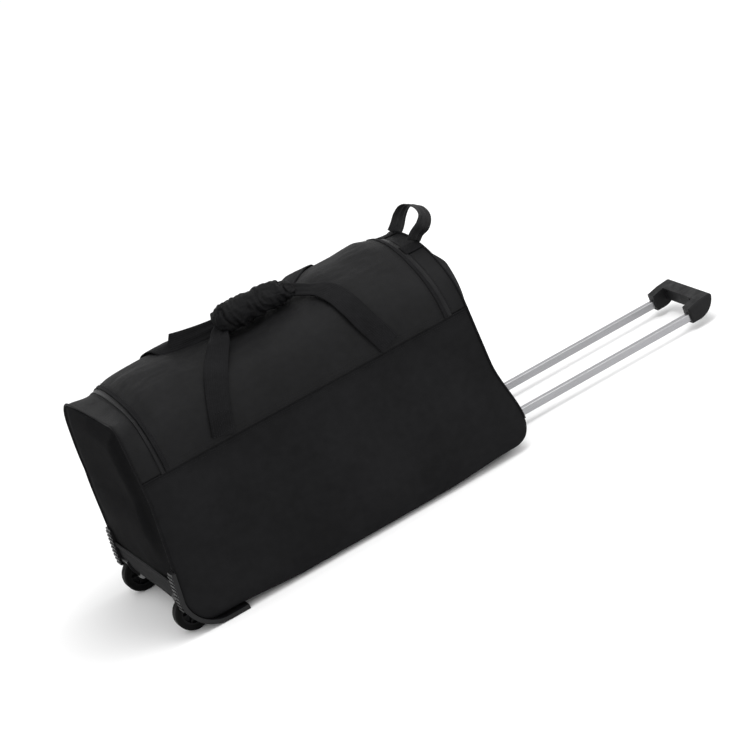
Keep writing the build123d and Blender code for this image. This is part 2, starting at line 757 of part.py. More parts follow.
with BuildPart() as grip_screws:
    add(screw_solid(0))
save(grip_screws, "grip_screws")

with BuildPart() as screw_holes:
    add(screw_solid(0.2))
    with BuildSketch(Plane.YZ.offset(grip_bar_x - 1)):
        with Locations(*screw_spots):
            Circle(screw_head_r + 0.2)
    extrude(amount=screw_x - grip_bar_x + 1)

with BuildPart() as grip_back_shell:
    add(grip_body.part)
    add(screw_holes.part, mode=Mode.SUBTRACT)
    add(block(0, grip_split, -wide, wide, 0, wide), mode=Mode.INTERSECT)
save(grip_back_shell, "grip_back_shell")

with BuildPart() as grip_front_shell:
    add(grip_body.part)
    add(screw_holes.part, mode=Mode.SUBTRACT)
    add(block(grip_split, wide * 3, -wide, wide, 0, wide), mode=Mode.INTERSECT)
save(grip_front_shell, "grip_front_shell")
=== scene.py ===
from math import atan2, cos, exp, pi, radians, sin

import bmesh
import bpy
import numpy as np
from mathutils import Matrix, Vector, noise


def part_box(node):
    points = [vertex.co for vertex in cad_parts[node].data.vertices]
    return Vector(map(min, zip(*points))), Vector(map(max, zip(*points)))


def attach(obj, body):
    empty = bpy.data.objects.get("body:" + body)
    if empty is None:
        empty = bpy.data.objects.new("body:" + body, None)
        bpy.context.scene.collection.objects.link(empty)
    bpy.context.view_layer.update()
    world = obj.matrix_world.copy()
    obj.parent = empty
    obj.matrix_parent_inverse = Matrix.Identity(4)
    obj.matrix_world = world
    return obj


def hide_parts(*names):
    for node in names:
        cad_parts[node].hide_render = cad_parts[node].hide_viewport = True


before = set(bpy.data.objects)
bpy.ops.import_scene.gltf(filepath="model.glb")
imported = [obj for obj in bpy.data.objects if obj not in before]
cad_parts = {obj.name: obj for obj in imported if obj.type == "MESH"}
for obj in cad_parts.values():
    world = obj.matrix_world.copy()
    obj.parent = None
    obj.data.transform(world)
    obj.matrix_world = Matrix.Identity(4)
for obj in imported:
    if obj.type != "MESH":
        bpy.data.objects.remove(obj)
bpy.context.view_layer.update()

# ---- places read from the frame, in metres ------------------------------------------------
side_lo, side_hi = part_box("near_side_panel")
base_lo, base_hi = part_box("base_panel")
strip_lo, strip_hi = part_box("wheel_end_top_strip")
lid_lo, lid_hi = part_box("lid_panel")
wrap_lo, wrap_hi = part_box("grip_wrap")
anchor_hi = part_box("grab_loop_anchors")[1]
tyre_lo, tyre_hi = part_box("tyre_near")

fabric = 0.003
wheel_end = strip_lo.x - fabric
foot_x = base_lo.x
toe_x = base_hi.x
base_z = base_lo.z
seam_z = side_hi.z
arch_z = strip_hi.z
band_top = base_hi.z
base_half = -side_lo.y
seam_half = lid_hi.y - fabric

base_edge_r = 0.022
wheel_corner_r = 0.065
handle_corner_r = 0.050
swell_top = base_z + 0.250
end_lean = 0.020
shoulder_half = 0.066
crown_drop = 0.005
webbing_w = 0.044
webbing_t = 0.0024
handle_edge_x = wheel_end + 0.690
middle = Vector(((wheel_end + toe_x) / 2, 0, (base_z + arch_z) / 2))


# ---- the bag's outline --------------------------------------------------------------------
def arc(centre, radius, start, end, count):
    """Points on an arc in the (y, z) plane, between two angles."""
    angles = np.linspace(start, end, count)
    return np.c_[centre[0] + radius * np.cos(angles), centre[1] + radius * np.sin(angles)]


def lower_half():
    """Half section from the base's edge up to the side seam."""
    edge = arc((base_half - base_edge_r, base_z + base_edge_r), base_edge_r, -pi / 2, 0, 12)
    side = np.linspace((base_half, base_z + base_edge_r), (seam_half, seam_z), 40)
    return np.vstack([edge, side[1:]])


def upper_half():
    """Half section from the side seam over the shoulder to the crown."""
    crown_r = (shoulder_half ** 2 + crown_drop ** 2) / (2 * crown_drop)
    slope = np.arcsin(shoulder_half / crown_r)
    crown = arc((0, arch_z - crown_r), crown_r, pi / 2, pi / 2 - slope, 20)
    start = crown[-1]
    chord = np.array([seam_half, seam_z]) - start
    turn = atan2(-chord[1], chord[0]) - slope
    radius = np.hypot(*chord) / (2 * sin(turn))
    centre = start - radius * np.array([sin(slope), cos(slope)])
    shoulder = arc(centre, radius, pi / 2 - slope, pi / 2 - slope - 2 * turn, 60)
    return np.vstack([crown, shoulder[1:]])[::-1]


def along(points, fractions):
    """Points at fractions of a polyline's length."""
    steps = np.r_[0, np.cumsum(np.linalg.norm(np.diff(points, axis=0), axis=1))]
    wanted = np.asarray(fractions) * steps[-1]
    return np.stack([np.interp(wanted, steps, column) for column in points.T], axis=-1)


lower = lower_half()
upper = upper_half()
arch = along(np.vstack([upper * [-1, 1], upper[::-1][1:]]), np.linspace(0, 1, 401))
arch_normal = np.gradient(arch, axis=0) @ np.array([[0, 1], [-1, 0]])
arch_normal /= np.linalg.norm(arch_normal, axis=1)[:, None]
outline = np.vstack([lower, upper[1:]])


def half_width(z):
    return float(np.interp(z, outline[:, 1], outline[:, 0]))


def ease(t):
    """A smooth step from 0 to 1."""
    t = min(max(float(t), 0.0), 1.0)
    return t * t * (3 - 2 * t)


def hump(t, centre, width):
    return exp(-((t - centre) / width) ** 2)


def left_x(z, y=0.0):
    """The wheel end's x at a height. Its far side is pushed out a little further."""
    if z < base_z + wheel_corner_r:
        drop = wheel_corner_r - (z - base_z)
        x = foot_x + wheel_corner_r - max(wheel_corner_r ** 2 - drop ** 2, 0) ** 0.5
    else:
        rise = min((z - base_z - wheel_corner_r) / (swell_top - base_z - wheel_corner_r), 1)
        x = foot_x + (wheel_end - foot_x) * rise
    return x - 0.013 * ease(y / base_half) * hump(z, base_z + 0.26, 0.13)


def right_x(z, y=0.0):
    """The handle end's x at a height: a full foot, then a hollow waist that leans in to the top."""
    if z < base_z + handle_corner_r:
        drop = handle_corner_r - (z - base_z)
        return toe_x - handle_corner_r + max(handle_corner_r ** 2 - drop ** 2, 0) ** 0.5
    waist = ease((z - base_z - handle_corner_r) / 0.130)
    return toe_x - end_lean * waist


def soft(x, y, z, scale, seed=0.0):
    """Smooth noise from -1 to 1 at a point, with features of about one over scale."""
    return noise.noise(Vector((x * scale + seed, y * scale - seed, z * scale + 2 * seed)))


def crease(x, y, z, scale, seed=0.0):
    """Noise with sharp valleys, from 0 in a crease to 1."""
    return min(abs(noise.noise(Vector((x * scale + seed, y * scale, z * scale - seed)))) * 3, 1.0)


def shoulder_form(x, v):
    """How far the top stands off its plain arch: full either side of the handles, sunk at the zip."""
    from_end = x - wheel_end
    sunk = 0.005 * hump(from_end, 0.054, 0.02) * hump(v, 0.3, 0.25)
    flat = 0.010 * hump(from_end, 0.66, 0.07) * hump(v, 0.25, 0.13)
    wheel_side = 0.009 * ease((from_end - 0.02) / 0.07) * (1 - ease((from_end - 0.16) / 0.08))
    handle_side = 0.010 * ease((from_end - 0.42) / 0.08) * ease((0.675 - from_end) / 0.07)
    full = (wheel_side + handle_side + 0.006 * ease(from_end / 0.08)) * hump(v, 0.58, 0.25)
    return full - sunk - flat


def box_end():
    """The wheel end's outline over the top: square shoulders, the far one lower and rounder."""
    near_corner = arc((-0.126, arch_z - 0.028), 0.026, pi, pi / 2, 10)
    far_corner = arc((0.108, arch_z - 0.064), 0.052, pi / 2, 0, 14)
    points = np.vstack([[[-seam_half, seam_z]], near_corner, far_corner, [[seam_half, seam_z]]])
    return along(points, np.linspace(0, 1, len(arch)))


wheel_outline = box_end()


def top_point(x, v, offset=0.0):
    """A point of the top at an x and a fraction from the near seam to the far one."""
    k = min(max(v, 0.0), 1.0) * (len(arch) - 1)
    i = min(int(k), len(arch) - 2)
    f = k - i
    square = 1 - ease((x - wheel_end) / 0.060)
    p = arch[i] * (1 - f) + arch[i + 1] * f
    p = p * (1 - square) + (wheel_outline[i] * (1 - f) + wheel_outline[i + 1] * f) * square
    n = arch_normal[i] * (1 - f) + arch_normal[i + 1] * f
    q = p + n * (offset + shoulder_form(x, v) * sin(pi * min(max(v, 0), 1)) ** 0.5)
    return np.array([x, q[0], q[1]]), np.array([0.0, n[0], n[1]])


# ---- mesh helpers -------------------------------------------------------------------------
def mesh_object(name, verts, faces, smooth=True):
    data = bpy.data.meshes.new(name)
    data.from_pydata([tuple(v) for v in verts], [], faces)
    data.update()
    obj = bpy.data.objects.new(name, data)
    bpy.context.scene.collection.objects.link(obj)
    data.polygons.foreach_set("use_smooth", [smooth] * len(data.polygons))
    return obj


def grid(name, rows, columns, place):
    """A sheet of quads; place(row fraction, column fraction) gives each point, with UVs to match."""
    verts = [place(i / (rows - 1), j / (columns - 1)) for i in range(rows) for j in range(columns)]
    faces = [(i * columns + j, i * columns + j + 1, (i + 1) * columns + j + 1, (i + 1) * columns + j)
             for i in range(rows - 1) for j in range(columns - 1)]
    obj = mesh_object(name, verts, faces)
    layer = obj.data.uv_layers.new(name="UVMap")
    for loop in obj.data.loops:
        row, column = divmod(loop.vertex_index, columns)
        layer.data[loop.index].uv = (column / (columns - 1), row / (rows - 1))
    return obj


def face_out(obj, centre=middle):
    """Turn the faces so that they look away from a centre."""
    away = sum(f.area * f.normal.dot(f.center - centre) for f in obj.data.polygons)
    if away < 0:
        obj.data.flip_normals()


def thicken(obj, thickness, offset=-1.0, inner_slot=0):
    solid = obj.modifiers.new("thickness", "SOLIDIFY")
    solid.thickness = thickness
    solid.offset = offset
    solid.material_offset = inner_slot


def smooth_path(points, count):
    """A smooth curve through points, by Catmull-Rom spans, evenly spaced."""
    pts = np.array(points, float)
    pts = np.vstack([2 * pts[0] - pts[1], pts, 2 * pts[-1] - pts[-2]])
    out = []
    for i in range(len(pts) - 3):
        a, b, c, d = pts[i:i + 4]
        for f in np.linspace(0, 1, 16, endpoint=False):
            out.append(0.5 * (2 * b + (c - a) * f + (2 * a - 5 * b + 4 * c - d) * f ** 2
                              + (3 * b - a - 3 * c + d) * f ** 3))
    out.append(pts[-2])
    return np.array(out)[np.linspace(0, len(out) - 1, count).round().astype(int)]


def length_of(path):
    return float(np.linalg.norm(np.diff(path, axis=0), axis=1).sum())


def ribbon(name, points, normals, widths, thickness=webbing_t, count=90, fold=0.0, columns=13):
    """Webbing along a path. normals face out of its surface; fold bends its edges back."""
    path = smooth_path(points, count)
    facing = smooth_path(normals, count)
    wide = smooth_path([[w, 0, 0] for w in widths], count)[:, 0]
    tangent = np.gradient(path, axis=0)
    tangent /= np.linalg.norm(tangent, axis=1)[:, None]
    across = np.cross(tangent, facing)
    across /= np.linalg.norm(across, axis=1)[:, None]
    up = np.cross(across, tangent)

    def place(r, c):
        i = round(r * (count - 1))
        v = 2 * c - 1
        bunch = 1 - wide[i] / webbing_w
        ripple = 0.0028 * bunch * cos(2.5 * pi * v) + 0.0004 * soft(*path[i], 40.0, v * 2)
        return path[i] + across[i] * v * wide[i] / 2 + up[i] * (ripple - fold * v * v)

    obj = grid(name, count, columns, place)
    thicken(obj, thickness, 0.0)
    obj["cut_length"] = length_of(path)
    obj["cut_area"] = float((np.linalg.norm(np.diff(path, axis=0), axis=1) * wide[1:]).sum())
    return obj


def tube(name, points, radius, sides=8):
    """A round cord through dense points."""
    path = np.array(points, float)
    tangent = np.gradient(path, axis=0)
    normal = np.array([1.0, 0.2, 0.1])
    verts, faces = [], []
    for p, t in zip(path, tangent):
        t = t / max(np.linalg.norm(t), 1e-9)
        normal = normal - t * normal.dot(t)
        normal = normal / np.linalg.norm(normal)
        other = np.cross(t, normal)
        verts += [p + radius * (normal * cos(a) + other * sin(a))
                  for a in np.linspace(0, 2 * pi, sides, endpoint=False)]
    for i in range(len(path) - 1):
        for j in range(sides):
            k = (j + 1) % sides
            faces.append((i * sides + j, i * sides + k, (i + 1) * sides + k, (i + 1) * sides + j))
    faces.append(tuple(range(sides))[::-1])
    faces.append(tuple((len(path) - 1) * sides + j for j in range(sides)))
    return mesh_object(name, verts, faces)


def stitches(name, rows, pitch=0.0046, length=0.0032, radius=0.00042):
    """Rows of raised thread stitches along dense paths."""
    verts, faces = [], []
    turn = np.linspace(0, 2 * pi, 5, endpoint=False)
    for row in rows:
        path = np.array(row, float)
        total = length_of(path)
        for k in range(max(int(total / pitch), 1)):
            marks = (k * pitch + np.array([0, length / 2, length])) / total
            a, m, b = along(path, np.minimum(marks, 1))
            t = (b - a) / max(np.linalg.norm(b - a), 1e-9)
            n = np.cross(t, [0.3, 0.5, 0.8])
            n /= np.linalg.norm(n)
            o = np.cross(t, n)
            first = len(verts)
            for centre, r in ((a, radius * 0.35), (m, radius), (b, radius * 0.35)):
                verts += [centre + r * (n * cos(q) + o * sin(q)) for q in turn]
            for ring in (first, first + 5):
                faces += [(ring + j, ring + (j + 1) % 5, ring + 5 + (j + 1) % 5, ring + 5 + j)
                          for j in range(5)]
            faces.append(tuple(range(first + 4, first - 1, -1)))
            faces.append(tuple(range(first + 10, first + 15)))
    return mesh_object(name, verts, faces)


def join(name, objects):
    """Join plain meshes into one object."""
    mesh = bmesh.new()
    for obj in objects:
        mesh.from_mesh(obj.data)
        bpy.data.objects.remove(obj)
    data = bpy.data.meshes.new(name)
    mesh.to_mesh(data)
    mesh.free()
    joined = bpy.data.objects.new(name, data)
    bpy.context.scene.collection.objects.link(joined)
    return joined


# ---- materials ----------------------------------------------------------------------------
def new_material(name, roughness, specular=0.5, metallic=0.0):
    mat = bpy.data.materials.new(name)
    mat.use_nodes = True
    shader = mat.node_tree.nodes["Principled BSDF"]
    shader.inputs["Roughness"].default_value = roughness
    shader.inputs["Specular IOR Level"].default_value = specular
    shader.inputs["Metallic"].default_value = metallic
    return mat, mat.node_tree, shader


def node(tree, kind, **inputs):
    made = tree.nodes.new(kind)
    for key, value in inputs.items():
        made.inputs[key.replace("_", " ")].default_value = value
    return made


def math_node(tree, operation, a, b=None):
    made = tree.nodes.new("ShaderNodeMath")
    made.operation = operation
    for slot, value in zip(made.inputs, (a, b)):
        if isinstance(value, (int, float)):
            slot.default_value = value
        elif value is not None:
            tree.links.new(value, slot)
    return made.outputs[0]


def mottled(tree, shader, colour, spread, coords, scales=(9.0, 70.0)):
    """Base colour that varies softly at two sizes."""
    broad = node(tree, "ShaderNodeTexNoise", Scale=scales[0], Detail=3.0)
    fine = node(tree, "ShaderNodeTexNoise", Scale=scales[1], Detail=5.0)
    for tex in (broad, fine):
        tree.links.new(coords, tex.inputs["Vector"])
    blend = math_node(tree, "ADD", math_node(tree, "MULTIPLY", broad.outputs["Fac"], 0.6),
                      math_node(tree, "MULTIPLY", fine.outputs["Fac"], 0.4))
    ramp = tree.nodes.new("ShaderNodeValToRGB")
    ramp.color_ramp.elements[0].position = 0.36
    ramp.color_ramp.elements[1].position = 0.66
    ramp.color_ramp.elements[0].color = (*[c * (1 - spread) for c in colour], 1)
    ramp.color_ramp.elements[1].color = (*[c * (1 + spread) for c in colour], 1)
    tree.links.new(blend, ramp.inputs["Fac"])
    tree.links.new(ramp.outputs["Color"], shader.inputs["Base Color"])


def bump_from(tree, shader, height, strength, distance):
    bump = node(tree, "ShaderNodeBump", Strength=strength, Distance=distance)
    tree.links.new(height, bump.inputs["Height"])
    tree.links.new(bump.outputs["Normal"], shader.inputs["Normal"])


def cloth_material(name, colour, pitch=0.0014, roughness=0.8, specular=0.06, strength=0.4,
                   creases=0.3, spread=0.2):
    """Woven cloth: threads along the object's own axes, soft creases, slight colour variation."""
    mat, tree, shader = new_material(name, roughness, specular)
    coords = tree.nodes.new("ShaderNodeTexCoord")
    mottled(tree, shader, colour, spread, coords.outputs["Object"])
    facing = tree.nodes.new("ShaderNodeSeparateXYZ")
    tree.links.new(coords.outputs["Normal"], facing.inputs[0])
    threads = None
    for axis in "XYZ":
        wave = node(tree, "ShaderNodeTexWave", Scale=pi / 10 / pitch, Distortion=0.6, Detail=1.0)
        wave.bands_direction = axis
        tree.links.new(coords.outputs["Object"], wave.inputs["Vector"])
        away = math_node(tree, "SUBTRACT", 1.0, math_node(tree, "ABSOLUTE", facing.outputs[axis]))
        part = math_node(tree, "MULTIPLY", wave.outputs["Fac"], away)
        threads = part if threads is None else math_node(tree, "ADD", threads, part)
    folds = node(tree, "ShaderNodeTexNoise", Scale=26.0, Detail=4.0, Roughness=0.55, Distortion=0.4)
    tree.links.new(coords.outputs["Object"], folds.inputs["Vector"])
    height = math_node(tree, "ADD", math_node(tree, "MULTIPLY", threads, 0.10),
                       math_node(tree, "MULTIPLY", folds.outputs["Fac"], creases))
    bump_from(tree, shader, height, strength, 0.004)
    return mat


def webbing_material(name, colour, ribs=11.0, picks=130.0, roughness=0.7, specular=0.06):
    """Ribbed webbing that runs along a ribbon's own length."""
    mat, tree, shader = new_material(name, roughness, specular)
    coords = tree.nodes.new("ShaderNodeTexCoord")
    mottled(tree, shader, colour, 0.25, coords.outputs["Object"], (20.0, 120.0))
    split = tree.nodes.new("ShaderNodeSeparateXYZ")
    tree.links.new(coords.outputs["UV"], split.inputs[0])
    rib = math_node(tree, "SINE", math_node(tree, "MULTIPLY", split.outputs["X"], 2 * pi * ribs))
    pick = math_node(tree, "SINE", math_node(tree, "MULTIPLY", split.outputs["Y"], 2 * pi * picks))
    height = math_node(tree, "ADD", math_node(tree, "MULTIPLY", rib, 0.30),
                       math_node(tree, "MULTIPLY", pick, 0.12))
    bump_from(tree, shader, height, 0.6, 0.001)
    return mat


def plastic_material(name, colour, roughness=0.38, specular=0.4, grain=900.0, strength=0.12,
                     spread=0.12):
    """Moulded plastic or rubber with a fine grain and faint scuffs."""
    mat, tree, shader = new_material(name, roughness, specular)
    coords = tree.nodes.new("ShaderNodeTexCoord")
    mottled(tree, shader, colour, spread, coords.outputs["Object"], (30.0, 200.0))
    tex = node(tree, "ShaderNodeTexNoise", Scale=grain, Detail=2.0)
    scuff = node(tree, "ShaderNodeTexNoise", Scale=45.0, Detail=6.0, Roughness=0.7)
    for made in (tex, scuff):
        tree.links.new(coords.outputs["Object"], made.inputs["Vector"])
    shine = node(tree, "ShaderNodeMapRange", From_Min=0.35, From_Max=0.75,
                 To_Min=roughness * 0.8, To_Max=min(roughness * 1.5, 1.0))
    tree.links.new(scuff.outputs["Fac"], shine.inputs["Value"])
    tree.links.new(shine.outputs["Result"], shader.inputs["Roughness"])
    bump_from(tree, shader, tex.outputs["Fac"], strength, 0.0005)
    return mat


def brushed_material(name, colour, roughness=0.3):
    """Anodised or plated metal, drawn along X."""
    mat, tree, shader = new_material(name, roughness, 0.5, 1.0)
    coords = tree.nodes.new("ShaderNodeTexCoord")
    stretch = tree.nodes.new("ShaderNodeMapping")
    stretch.inputs["Scale"].default_value = (6.0, 900.0, 900.0)
    tree.links.new(coords.outputs["Object"], stretch.inputs["Vector"])
    lines = node(tree, "ShaderNodeTexNoise", Scale=1.0, Detail=4.0)
    tree.links.new(stretch.outputs["Vector"], lines.inputs["Vector"])
    mottled(tree, shader, colour, 0.06, coords.outputs["Object"], (12.0, 300.0))
    shine = node(tree, "ShaderNodeMapRange", From_Min=0.3, From_Max=0.7,
                 To_Min=roughness * 0.8, To_Max=roughness * 1.3)
    tree.links.new(lines.outputs["Fac"], shine.inputs["Value"])
    tree.links.new(shine.outputs["Result"], shader.inputs["Roughness"])
    bump_from(tree, shader, lines.outputs["Fac"], 0.08, 0.0003)
    return mat


side_cloth = cloth_material("side_cloth", (0.0078, 0.0078, 0.0083), strength=0.3)
top_cloth = cloth_material("top_cloth", (0.0066, 0.0066, 0.0070), roughness=0.58, specular=0.09,
                           strength=0.45, creases=0.5)
# Painted shade: the wheel end panel's cloth is the side cloth made about half as dark, standing in for the
# shade on that end.
end_cloth_painted_shade = cloth_material("end_cloth_painted_shade", (0.0036, 0.0036, 0.0040), specular=0.02, strength=0.3)
base_cloth = cloth_material("base_cloth", (0.0145, 0.0145, 0.0150), pitch=0.0026, strength=0.6,
                            creases=0.12)
wrap_cloth = cloth_material("wrap_cloth", (0.0050, 0.0050, 0.0054), pitch=0.0018, specular=0.08,
                            roughness=0.6, strength=0.7, creases=0.7)
lining_cloth = cloth_material("lining_cloth", (0.045, 0.045, 0.048), pitch=0.001, strength=0.2)
webbing = webbing_material("webbing", (0.0062, 0.0062, 0.0067))
binding_cloth = webbing_material("binding_cloth", (0.0075, 0.0075, 0.0080), 3.0)
thread = plastic_material("thread", (0.011, 0.011, 0.012), 0.6, 0.1)
piping_cloth = cloth_material("piping_cloth", (0.0050, 0.0050, 0.0055), roughness=0.55, creases=0.05)
zip_tape = webbing_material("zip_tape", (0.005, 0.005, 0.0055), 5.0, 300.0, 0.4, 0.14)
# Painted highlight: the grab loop's webbing is lighter than the strap webbing, standing in for the light on
# its upward face.
loop_webbing_painted_light = webbing_material("loop_webbing_painted_light", (0.0085, 0.0085, 0.0090), 8.0, 90.0, 0.55, 0.14)
black_plastic = plastic_material("black_plastic", (0.0060, 0.0060, 0.0065), 0.36, 0.22)
grip_plastic = plastic_material("grip_plastic", (0.0090, 0.0090, 0.0095), 0.5, 0.11, 600.0, 0.25)
tyre_rubber = plastic_material("tyre_rubber", (0.0040, 0.0040, 0.0040), 0.6, 0.06, 500.0, 0.2)
hub_plastic = plastic_material("hub_plastic", (0.0045, 0.0045, 0.0050), 0.4, 0.12)
acetal = plastic_material("acetal", (0.55, 0.55, 0.52), 0.4, 0.5)
board_plastic = plastic_material("board_plastic", (0.06, 0.06, 0.06), 0.6, 0.3)
aluminium = brushed_material("aluminium", (0.32, 0.32, 0.33), 0.3)
steel = brushed_material("steel", (0.42, 0.42, 0.43), 0.32)

# ---- the carried-over CAD nodes -----------------------------------------------------------
ends = ("near", "far")
finishes = [
    (black_plastic, ["rear_feet", "tube_bracket", "exit_plate", "push_button", "release_yoke"]
     + [f"{part}_{end}" for part in ("corner_guard", "wheel_housing", "tube_collar")
        for end in ends]
     + [f"{end}_end_{part}" for part in ("slider", "pull") for end in ("wheel", "handle")]),
    (grip_plastic, ["grip_back_shell", "grip_front_shell"]),
    (tyre_rubber, [f"tyre_{end}" for end in ends]),
    (hub_plastic, [f"hub_{end}" for end in ends]),
    (acetal, [f"{part}_{end}" for part in ("wheel_bush", "slide_bush") for end in ends]),
    (board_plastic, ["base_board"]),
    (aluminium, [f"{part}_{end}" for part in ("inner_tube", "outer_tube") for end in ends]),
    (steel, ["tube_rivets", "grip_screws", "button_spring", "pin_springs", "release_rods",
             "lock_pins", "axle_near", "axle_far"]),
]
for material, names in finishes:
    for name in names:
        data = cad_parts[name].data
        data.materials.clear()
        data.materials.append(material)


def dress(obj, material, body, replaced=()):
    """Give a piece its material and its body, and hide the nodes it stands for."""
    obj.data.materials.append(material)
    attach(obj, body)
    if replaced:
        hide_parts(*replaced)
    return obj


def lined(obj, thickness=fabric * 0.8):
    """Give a panel its thickness and a lining inside."""
    obj.data.materials.append(lining_cloth)
    thicken(obj, thickness, -1.0, 1)


# ---- side panels --------------------------------------------------------------------------
def sag(x):
    """How far the bottom hangs between the wheels and the rear feet."""
    return 0.0075 * ease((x - wheel_end - 0.07) / 0.15) * ease((wheel_end + 0.66 - x) / 0.15)


def side_place(sign):
    def place(r, c):
        y, z = along(lower, [r])[0]
        x0, x1 = left_x(z, sign * y), right_x(z)
        x = x0 + (x1 - x0) * c
        inside = sin(pi * c) ** 0.5 * sin(pi * min(r * 1.05, 1.0))
        puff = 0.0050 * inside + 0.0045 * ease(1.15 - r * 1.6) * ease(r * 8) * sin(pi * c) ** 0.5
        puff += 0.0040 * soft(x, sign * 0.3, z, 4.5, 3.1) * inside
        puff += 0.0018 * soft(x, sign * 0.3, z * 0.5, 15.0, 7.7) * inside
        tucks = ease((r - 0.78) / 0.20) * (1 - ease((r - 0.96) / 0.04)) * sin(pi * c) ** 0.3
        puff += 0.0012 * soft(x * 2.2, sign, z * 0.6, 24.0, 1.3) * tucks
        low = 1 - ease((z - base_z) / 0.06)
        return (x, sign * (y + puff), z - sag(x) * low)
    return place


for end, sign in (("near", -1), ("far", 1)):
    panel = grid(f"side_panel_{end}", 60, 200, side_place(sign))
    face_out(panel)
    dress(panel, side_cloth, "bag", [f"{end}_side_panel"])
    lined(panel)


# ---- end panels ---------------------------------------------------------------------------
def end_edge(edge_x, low_z, t, sign):
    """A point on an end panel's outline: t runs from its lower edge up one side to the crown."""
    side_length = seam_z - low_z
    arch_length = length_of(arch) / 2
    where = t * (side_length + arch_length)
    if where < side_length:
        z = low_z + where
        y = sign * half_width(z)
    else:
        up = (where - side_length) / arch_length / 2
        v = up if sign < 0 else 1 - up
        near_end = wheel_end if edge_x is left_x else handle_edge_x
        _, y, z = top_point(near_end, v)[0]
    return np.array([edge_x(z, y), y, z])


def end_place(edge_x, low_z, bulge, top_bulge, lip, seed):
    outward = -1 if edge_x is left_x else 1

    def place(r, c):
        a = end_edge(edge_x, low_z, r, -1)
        b = end_edge(edge_x, low_z, r, 1)
        p = a * (1 - c) + b * c
        in_from_side = min(p[1] - a[1], b[1] - p[1])
        in_from_edge = min(in_from_side, (arch_z - p[2]) * 1.1 + 0.15 * in_from_side)
        high = 1 + top_bulge * ease((p[2] - base_z - 0.20) / 0.10)
        out = bulge * high * ease((in_from_edge - lip) / 0.07) * ease((p[2] - low_z) / 0.12)
        out += 0.0035 * soft(p[0], p[1], p[2], 8.0, seed) * ease(in_from_edge / 0.04)
        out += 0.0012 * soft(p[0], p[1] * 0.6, p[2], 22.0, seed) * ease(in_from_edge / 0.02)
        if lip:
            out -= 0.0018 * hump(in_from_edge, lip, 0.003)
        return (p[0] + outward * out, p[1], p[2])
    return place


wheel_panel = grid("wheel_end_panel_cloth", 120, 90, end_place(left_x, band_top, 0.012, 0.0, 0.0, 2.0))
face_out(wheel_panel)
dress(wheel_panel, end_cloth_painted_shade, "bag", ["wheel_end_panel"])
lined(wheel_panel)

handle_low = base_z + handle_corner_r
handle_panel = grid("handle_end_panel_cloth", 130, 100,
                    end_place(right_x, handle_low, 0.016, 0.8, 0.010, 5.0))
face_out(handle_panel)
dress(handle_panel, side_cloth, "bag", ["handle_end_panel"])
lined(handle_panel)


def outline_path(edge_x, low_z, out, count=260):
    """Points round an end panel's outline, from the near foot over the crown to the far foot."""
    up = [end_edge(edge_x, low_z, t, -1) for t in np.linspace(0, 1, count // 2)]
    down = [end_edge(edge_x, low_z, t, 1) for t in np.linspace(1, 0, count // 2)]
    points = np.array(up + down[1:])
    away = points - np.array([0, 0, base_z + 0.2])
    away[:, 0] = 0
    return points + away / np.linalg.norm(away, axis=1)[:, None] * out


piping_r = 0.0022
for end, edge, low_z in (("wheel", left_x, band_top - 0.03), ("handle", right_x, handle_low)):
    cord = tube(f"{end}_end_piping_cord", outline_path(edge, low_z, 0.0008), piping_r)
    dress(cord, piping_cloth, "bag", [f"{end}_end_piping"])

# ---- base panel, turned up the wheel end --------------------------------------------------
rise = np.linspace(band_top, base_z, 50)
route = np.vstack([np.c_[[left_x(z) for z in rise], rise],
                   np.c_[[right_x(z) for z in rise[::-1]], rise[::-1]][:int(50 * 0.5)]])


def base_place(r, c):
    x, z = along(route, [r])[0]
    v = 2 * c - 1
    y = half_width(max(z, base_z + 1e-5)) * v
    hang = sag(x) * (1 - ease((z - base_z) / 0.06)) * (1 - 0.5 * abs(v) ** 3)
    swell = 0.0015 * soft(x, y, z, 9.0, 8.0)
    shift = left_x(z, y) - left_x(z) if x < wheel_end + 0.07 else 0
    return (x + shift - swell * hump(x, foot_x, 0.02), y, z - hang)


base = grid("base_panel_cloth", 220, 60, base_place)
face_out(base)
dress(base, base_cloth, "bag", ["base_panel"])
thicken(base, fabric * 0.8, -1.0, 0)

wheel_centre = (tyre_lo + tyre_hi) / 2
well_r = 0.040
for end, sign in (("near", -1), ("far", 1)):
    ring = [(wheel_centre.x + well_r * cos(a), sign * abs(wheel_centre.y), wheel_centre.z + well_r * sin(a))
            for a in np.linspace(0, 2 * pi, 48, endpoint=False)]
    verts = [(x, y + side * 0.015, z) for side in (-1, 1) for x, y, z in ring]
    faces = [(j, (j + 1) % 48, 48 + (j + 1) % 48, 48 + j) for j in range(48)]
    faces += [tuple(range(47, -1, -1)), tuple(range(48, 96))]
    cutter = mesh_object(f"well_cutter_{end}", verts, faces)
    well = base.modifiers.new(f"well_{end}", "BOOLEAN")
    well.operation = "DIFFERENCE"
    well.solver = "EXACT"
    well.object = cutter
    bpy.context.view_layer.objects.active = base
with bpy.context.temp_override(object=base, active_object=base, selected_objects=[base]):
    for modifier in list(base.modifiers):
        bpy.ops.object.modifier_apply(modifier=modifier.name)
for end in ends:
    bpy.data.objects.remove(bpy.data.objects[f"well_cutter_{end}"])

band_edge = grid("base_band_edge", 5, 90, lambda r, c: (
    left_x(band_top, base_half * (2 * c - 1)) - 0.0022 - 0.001 * sin(pi * r),
    half_width(band_top) * (2 * c - 1), band_top - 0.009 + 0.011 * r))
face_out(band_edge)
dress(band_edge, binding_cloth, "bag")
thicken(band_edge, 0.0016, 0.0)


